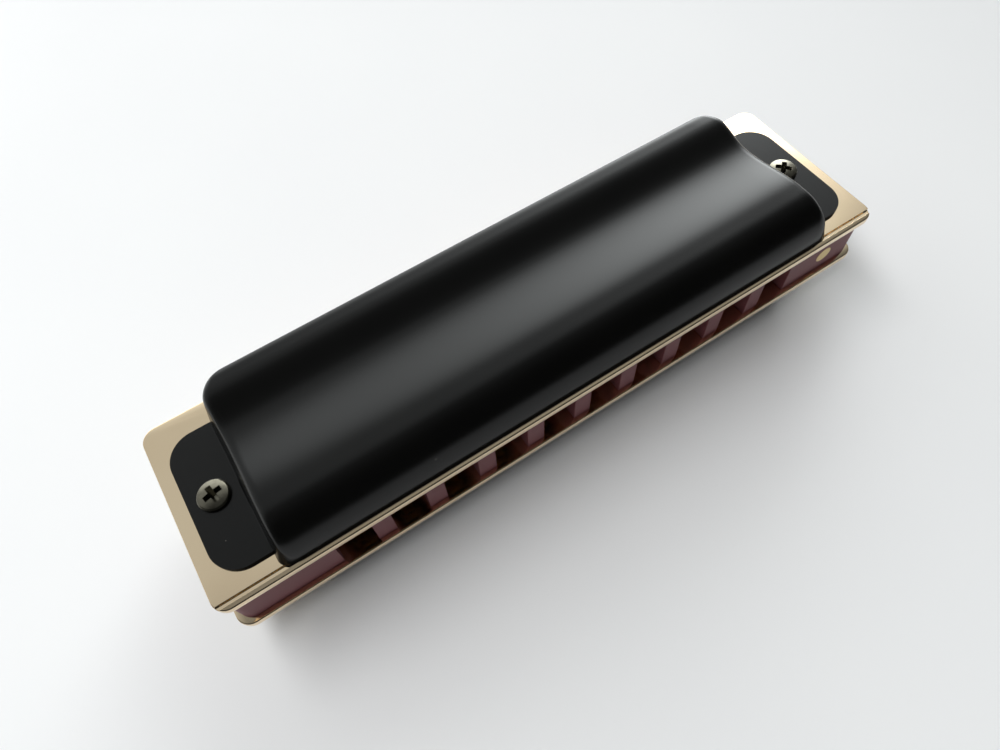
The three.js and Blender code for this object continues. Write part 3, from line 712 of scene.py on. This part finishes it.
# %% Wine-red moulded ABS
def moulded_abs():
    material, tree, shader, place = new_material("wine-red ABS, moulded satin")
    grain = add_node(tree, "ShaderNodeTexNoise",
                     {"Scale": per_metre(0.16), "Detail": 2}, {"Vector": place})
    cloud = add_node(tree, "ShaderNodeTexNoise",
                     {"Scale": per_metre(7), "Detail": 3}, {"Vector": place})
    colour = add_node(tree, "ShaderNodeMix", {"A": linear("#6f3d41"), "B": linear("#7e494d")},
                      {"Factor": cloud.outputs["Fac"]}, data_type="RGBA")
    sheen = add_node(tree, "ShaderNodeMapRange", {"To Min": 0.52, "To Max": 0.66},
                     {"Value": cloud.outputs["Fac"]})
    bump = add_node(tree, "ShaderNodeBump", {"Strength": 0.25, "Distance": 0.02 * MM},
                    {"Height": grain.outputs["Fac"]})
    tree.links.new(colour.outputs["Result"], shader.inputs["Base Color"])
    tree.links.new(sheen.outputs["Result"], shader.inputs["Roughness"])
    tree.links.new(bump.outputs["Normal"], shader.inputs["Normal"])
    shader.inputs["IOR"].default_value = 1.54
    return material


wine_abs = moulded_abs()


# %% Comb
def make_comb():
    outline = rounded_rectangle(-COMB_HALF_LENGTH, COMB_HALF_LENGTH,
                                -COMB_HALF_WIDTH, COMB_HALF_WIDTH, COMB_CORNER, 10)
    piece = new_piece("comb", prism(outline, COMB_BASE, DRAW_BASE))
    low, high = COMB_BASE - OVERCUT, DRAW_BASE + OVERCUT
    half, before_front = HOLE_WIDTH / 2, -14
    parts = [prism(rectangle(x - half, x + half, before_front, end), low, high)
             for x, end in zip(hole_x, chamber_back)]
    parts += [prism(circle(PLATE_SCREW_HOLE, 16, place), low, high) for place in plate_screws]
    parts += [prism(circle(SCREW_HOLE, 16, (side * SCREW_X, 0)), low, high) for side in (1, -1)]
    cut(piece, together(*parts))
    soften(piece, 0.14, segments=3)
    return piece


comb = make_comb()
settle(comb, wine_abs, "comb")

# %% [markdown]
# ## A plain gold mark
# Makers print the key of the instrument in gold on the end of the comb. Here a plain round dot
# of gold foil stands in its place. It could be a patch of colour on the comb, but hot-stamped foil
# has an edge of its own, so it is a disc a few hundredths of a millimetre thick, laid on the face.

# %% Foil dot
def gold_foil():
    material, tree, shader, place = new_material("gold foil, hot stamped")
    crinkle = add_node(tree, "ShaderNodeTexNoise",
                       {"Scale": per_metre(0.3), "Detail": 3}, {"Vector": place})
    tone = add_node(tree, "ShaderNodeMix", {"A": linear("#c9ad72"), "B": linear("#e6d09b")},
                    {"Factor": crinkle.outputs["Fac"]}, data_type="RGBA")
    bump = add_node(tree, "ShaderNodeBump", {"Strength": 0.3, "Distance": 0.01 * MM},
                    {"Height": crinkle.outputs["Fac"]})
    tree.links.new(tone.outputs["Result"], shader.inputs["Base Color"])
    tree.links.new(bump.outputs["Normal"], shader.inputs["Normal"])
    shader.inputs["Metallic"].default_value = 1.0
    shader.inputs["Roughness"].default_value = 0.35
    return material


def make_dot(x=43.2, z=10.1, radius=1.3, thickness=0.04, edge=0.02):
    """A flat cylinder lying against the comb's front face, its rim chamfered."""
    face = -COMB_HALF_WIDTH
    rings = []
    for r, y in [(radius, face), (radius, face - thickness + edge),
                 (radius - edge, face - thickness), (0.2, face - thickness)]:
        ring = circle(r, 40)
        rings.append(np.column_stack([x + ring[:, 0], np.full(len(ring), y), z + ring[:, 1]]))
    return new_piece("foil-dot", loft(rings))


dot = make_dot()
dot.data.materials.append(gold_foil())
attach(dot, "root")

# %% [markdown]
# ## Reeds
# A reed is a tongue of hard brass, rolled and then filed: thick at the root, thin in the belly
# and a little thicker again at the tip. Its pad is riveted over the root of the slot, and the
# tongue stands just proud of the plate. A box would do for its outline but not for its filed
# thickness, so each one is a row of rectangles whose width, thickness and lift change along it.
# It bends at its root.

# %% Ground brass
def ground_brass():
    material, tree, shader, place = new_material("hard brass, rolled and ground")
    along = add_node(tree, "ShaderNodeMapping", {"Scale": (1, 0.05, 1)}, {"Vector": place})
    file_marks = add_node(tree, "ShaderNodeTexNoise",
                          {"Scale": per_metre(0.12), "Detail": 3}, {"Vector": along.outputs[0]})
    bloom = add_node(tree, "ShaderNodeTexNoise",
                     {"Scale": per_metre(3), "Detail": 3}, {"Vector": place})
    tone = add_node(tree, "ShaderNodeMix", {"A": linear("#b98f4c"), "B": linear("#d6b26c")},
                    {"Factor": bloom.outputs["Fac"]}, data_type="RGBA")
    rough = add_node(tree, "ShaderNodeMapRange", {"To Min": 0.22, "To Max": 0.4},
                     {"Value": file_marks.outputs["Fac"]})
    bump = add_node(tree, "ShaderNodeBump", {"Strength": 0.3, "Distance": 0.01 * MM},
                    {"Height": file_marks.outputs["Fac"]})
    tree.links.new(tone.outputs["Result"], shader.inputs["Base Color"])
    tree.links.new(rough.outputs["Result"], shader.inputs["Roughness"])
    tree.links.new(bump.outputs["Normal"], shader.inputs["Normal"])
    shader.inputs["Metallic"].default_value = 1.0
    return material


brass = ground_brass()


# %% Reeds
REED_ROOT, REED_FILED, REED_TIP_LOSS, REED_LIFT, PAD_MARGIN = 0.25, 0.1, 0.03, 0.19, 0.5


def reed_rings(tongue, length, pad_rings=4, tongue_rings=26):
    """Rectangles along +Y: the pad, a shoulder, then the tongue, filed thin in its belly and
    lifted towards its tip with the 1.5th power of the way along."""
    along = np.concatenate([np.linspace(-PAD, 0, pad_rings), np.linspace(0, length, tongue_rings)])
    half = np.concatenate([np.full(pad_rings, tongue + CLEARANCE + PAD_MARGIN),
                           np.full(tongue_rings, tongue)])
    share = np.clip(along / length, 0, 1)
    thick = REED_ROOT - REED_FILED * np.sin(math.pi * share) ** 2 - REED_TIP_LOSS * share
    lift = REED_LIFT * share ** 1.5
    x = half[:, None] * np.array([-1, 1, 1, -1])
    z = lift[:, None] + thick[:, None] * np.array([1, 1, 0, 0])
    return np.stack([x, np.broadcast_to(along[:, None], x.shape), z], axis=-1)


def make_reed(kind, number):
    i = number - 1
    length = blow_tip[i] - blow_root[i] - CLEARANCE
    rings = reed_rings(slot_width[i] / 2 - CLEARANCE, length)
    if kind == "draw":
        rings = rings * (-1, -1, 1) + (hole_x[i], draw_root[i], DRAW_FACE)
    else:
        rings = rings + (hole_x[i], blow_root[i], COMB_BASE)
    node = f"{kind}_reed_{number}"
    piece = new_piece(f"{kind}-reed-{number}", loft(rings))
    piece.data.materials.append(brass)
    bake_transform(piece)
    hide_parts(node)
    return piece


reeds = [make_reed(kind, number) for kind in ("draw", "blow") for number in range(1, HOLES + 1)]
print(len(reeds), "reeds, each of", len(reeds[0].data.polygons), "faces")

# %% [markdown]
# ## Turned pieces: rivets and screws
# Rivets, screws and nuts come off a lathe, which leaves rings about the axis. The pattern has to
# follow each piece's own axis, so every turned piece carries a UV map of its distance east and
# north of that axis, in millimetres, and the material turns that into rings.

# %% Lathe marks
def give_axis_map(piece, centre):
    """UV = where each corner is, seen along the axis, in mm from it."""
    mesh = piece.data
    corner_vertex = np.empty(len(mesh.loops), np.int32)
    mesh.loops.foreach_get("vertex_index", corner_vertex)
    points = np.empty(len(mesh.vertices) * 3, np.float32)
    mesh.vertices.foreach_get("co", points)
    flat = points.reshape(-1, 3)[corner_vertex, :2] / MM - np.array(centre)
    layer = mesh.uv_layers.new(name="from the axis")
    layer.data.foreach_set("uv", flat.astype(np.float32).ravel())


def lathe_metal(name, dark, light, rough_low, rough_high, ring_spacing):
    material, tree, shader, place = new_material(name)
    flat = add_node(tree, "ShaderNodeUVMap", uv_map="from the axis")
    radius = add_node(tree, "ShaderNodeVectorMath", links={0: flat.outputs["UV"]},
                      operation="LENGTH")
    phase = add_node(tree, "ShaderNodeMath", {1: 2 * math.pi / ring_spacing},
                     {0: radius.outputs["Value"]}, operation="MULTIPLY")
    rings = add_node(tree, "ShaderNodeMath", links={0: phase.outputs[0]}, operation="SINE")
    wear = add_node(tree, "ShaderNodeTexNoise",
                    {"Scale": per_metre(0.9), "Detail": 4, "Roughness": 0.65}, {"Vector": place})
    tone = add_node(tree, "ShaderNodeMix", {"A": linear(dark), "B": linear(light)},
                    {"Factor": wear.outputs["Fac"]}, data_type="RGBA")
    rough = add_node(tree, "ShaderNodeMapRange", {"To Min": rough_low, "To Max": rough_high},
                     {"Value": wear.outputs["Fac"]})
    bump = add_node(tree, "ShaderNodeBump", {"Strength": 0.12, "Distance": 0.01 * MM},
                    {"Height": rings.outputs[0]})
    tree.links.new(tone.outputs["Result"], shader.inputs["Base Color"])
    tree.links.new(rough.outputs["Result"], shader.inputs["Roughness"])
    tree.links.new(bump.outputs["Normal"], shader.inputs["Normal"])
    shader.inputs["Metallic"].default_value = 1.0
    return material


nickel = lathe_metal("steel, turned and nickel plated", "#5a564c", "#8d897b", 0.16, 0.3, 0.16)
turned_brass = lathe_metal("brass, turned", "#b08d4c", "#d9b873", 0.2, 0.36, 0.12)


# %% Rivets
def rivet_profile(seat):
    """(radius, height) from the upset tail, up the shank, to a low domed head."""
    angle = np.linspace(0, math.pi / 2 * 0.96, 8)
    head = [(0.9 * math.cos(a), seat + 0.3 * math.sin(a)) for a in angle]
    return [(0.5, -1.3), (0.62, -1.29), (0.72, -1.2), (0.75, -1.1), (0.55, -1.1),
            (0.55, seat), *head]


def make_rivet(kind, number):
    i = number - 1
    y = draw_root[i] + PAD / 2 if kind == "draw" else blow_root[i] - PAD / 2
    z = DRAW_FACE if kind == "draw" else COMB_BASE
    points, faces = turned(rivet_profile(seat=REED_ROOT), 20, (hole_x[i], y))
    piece = new_piece(f"{kind}-rivet-{number}", (points + (0, 0, z), faces))
    give_axis_map(piece, (hole_x[i], y))
    settle(piece, turned_brass, f"{kind}_rivet_{number}")
    return piece


rivets = [make_rivet(kind, number) for kind in ("draw", "blow") for number in range(1, HOLES + 1)]
print(len(rivets), "rivets")

# %% [markdown]
# ## Cover screws and nuts
# Each end of the instrument is clamped by one small pan-head screw, with its nut under the lower
# tab. The head is a low drum with a chamfered edge and a slightly domed crown, and its cross
# recess tapers as it goes down.
# The thread is a surface whose radius rises and falls once for every turn and every pitch, so a
# grid of angle against height draws the whole screw. The nut is a hexagon that a cone has
# chamfered: at each height the radius is the smaller of the two. All of it could be plain
# cylinders, but the recess and the hexagon are what the eye looks for on a fastener.

# %% Cover screws
THREAD_PITCH, SCREW_END = 0.4, -11.8
HEAD_RADIUS, HEAD_RIM, HEAD_CHAMFER, HEAD_RISE = 2.05, 0.34, 0.18, 0.28


def threaded_rings(radius, depth, z_from, z_to, sides=24, per_pitch=7):
    """Radius falls by the thread depth where angle and height are out of step with the helix."""
    z = np.linspace(z_from, z_to, int((z_to - z_from) / THREAD_PITCH * per_pitch))[:, None]
    angle = np.linspace(0, 2 * math.pi, sides, endpoint=False)[None, :]
    phase = (z / THREAD_PITCH - angle / (2 * math.pi)) % 1
    r = radius - depth * np.abs(2 * phase - 1)
    r = r * np.clip(0.75 + (z - z_from) / 1.2, 0.75, 1)
    return np.stack([r * np.cos(angle), r * np.sin(angle), np.broadcast_to(z, r.shape)], axis=-1)


def pan_head(steps=12, break_edge=0.06):
    """A straight rim, a narrow chamfer, then a crown whose height falls with the square of the
    radius, so that the top is nearly flat and its edge is crisp."""
    crown, shoulder = HEAD_RADIUS - HEAD_CHAMFER, HEAD_RIM + HEAD_CHAMFER
    profile = [(HEAD_RADIUS - break_edge, 0), (HEAD_RADIUS, break_edge),
               (HEAD_RADIUS, HEAD_RIM), (crown, shoulder)]
    profile += [(crown * share, shoulder + HEAD_RISE * (1 - share ** 2))
                for share in np.linspace(0.96, 0.05, steps)]
    return profile


def make_cover_screw(name, node, x, recess_angle):
    shank = threaded_rings(radius=1.0, depth=0.14, z_from=SCREW_END, z_to=-0.02)
    head = np.array([at_height(circle(r, 24), z) for r, z in pan_head()])
    points, faces = loft(np.concatenate([shank, head]))
    seat = DRAW_FACE + SHEET
    piece = new_piece(name, (points + (x, 0, seat), faces))
    turn = turn_by(recess_angle)
    top = seat + HEAD_RIM + HEAD_CHAMFER + HEAD_RISE
    arms = [(0.35, 0.16, top - 1.5), (1.0, 0.32, top - 0.4), (1.3, 0.39, top + 0.1)]
    recess = [at_height(cross(a, b) @ turn + (x, 0), z) for a, b, z in arms]
    cut(piece, loft(recess))
    soften(piece, 0.03)
    give_axis_map(piece, (x, 0))
    settle(piece, nickel, node)
    return piece


make_cover_screw("cover-screw-right", "cover_screw_low", SCREW_X, math.radians(40))
make_cover_screw("cover-screw-left", "cover_screw_high", -SCREW_X, math.radians(11))


# %% Nuts
NUT_HEIGHT = 1.5


def nut_rings(flats=4.0, height=NUT_HEIGHT, bore=1.03, sides=72):
    """Rings round the section: up the outside, in over the top, down the bore. The chamfer's
    cone takes the corners back by the same drop at the top and bottom."""
    angle = np.linspace(0, 2 * math.pi, sides, endpoint=False)
    hexagon = flats / 2 / np.cos((angle % (math.pi / 3)) - math.pi / 6)
    z = np.array([0, 0.08, 0.2, 0.34, height - 0.34, height - 0.2, height - 0.08, height])
    cone = flats / 2 * 0.97 + 1.75 * np.minimum(z, height - z)
    outside = np.minimum(hexagon[None, :], cone[:, None])
    inside = np.repeat([[bore + 0.12], [bore], [bore], [bore + 0.12]], sides, axis=1)
    r = np.vstack([outside, inside])
    z = np.concatenate([z, [height, height - 0.12, 0.12, 0]])[:, None]
    return np.stack([r * np.cos(angle), r * np.sin(angle), np.broadcast_to(z, r.shape)], axis=-1)


def make_nut(name, node, x):
    rings = nut_rings() + (x, 0, BLOW_FACE - SHEET - NUT_HEIGHT)
    rows, columns = rings.shape[:2]
    piece = new_piece(name, (rings.reshape(-1, 3), ring_faces(rows, columns, closed_rows=True)))
    give_axis_map(piece, (x, 0))
    settle(piece, nickel, node)
    return piece


make_nut("nut-right", "cover_nut_low", SCREW_X)
make_nut("nut-left", "cover_nut_high", -SCREW_X)

# %% [markdown]
# ## Plate screws
# Nine small countersunk brass screws pull the two plates against the comb. Their heads lie flush
# in the upper plate, under the cover, and show only through the open back. So they are plain
# turned solids with a small cross recess, each turned to an angle of its own.

# %% Plate screws
def make_plate_screw(number, place):
    profile = [(0.5, -8.9), (0.65, -8.7), (0.65, -0.6), (1.2, -0.05), (1.2, -0.01), (1.15, 0)]
    points, faces = turned(profile, 24, place)
    piece = new_piece(f"plate-screw-{number}", (points + (0, 0, DRAW_FACE), faces))
    turn = turn_by(number)
    cut(piece, loft([at_height(cross(a, b) @ turn + place, z) for a, b, z in
                     [(0.35, 0.12, DRAW_FACE - 0.4), (0.65, 0.18, DRAW_FACE + 0.1)]]))
    give_axis_map(piece, place)
    settle(piece, turned_brass, f"plate_screw_{number}")
    return piece


for number, place in enumerate(plate_screws, 1):
    make_plate_screw(number, place)
print(len(plate_screws), "plate screws")

# %% Scene update
bpy.context.view_layer.update()
